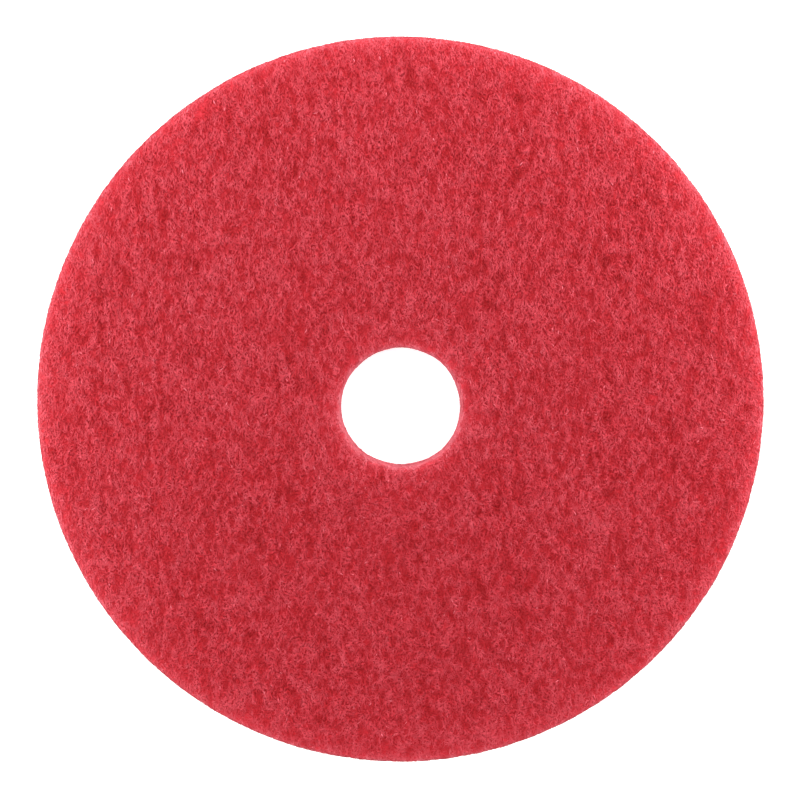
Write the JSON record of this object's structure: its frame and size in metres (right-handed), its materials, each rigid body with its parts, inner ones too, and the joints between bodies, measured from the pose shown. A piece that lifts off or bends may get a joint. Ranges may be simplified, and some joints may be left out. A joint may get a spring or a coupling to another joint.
{
  "type": "round floor pad",
  "caption": "Round nonwoven fibre pad with a centre hole and soft rounded edges, fitted under a rotary floor machine to scrub and buff hard floors.",
  "frame": {"origin": "on the centre hole's axis, in the plane of the face that lies on the floor", "axes": "+Z along the centre hole, out of the face that the pad driver presses on; X and Y are any two directions across the round pad"},
  "size_m": [0.5079, 0.508, 0.0254],
  "materials": {
    "fibre_web": "matte"
  },
  "bodies": {
    "root": {"floor_pad": "fibre_web"}
  },
  "joints": []
}
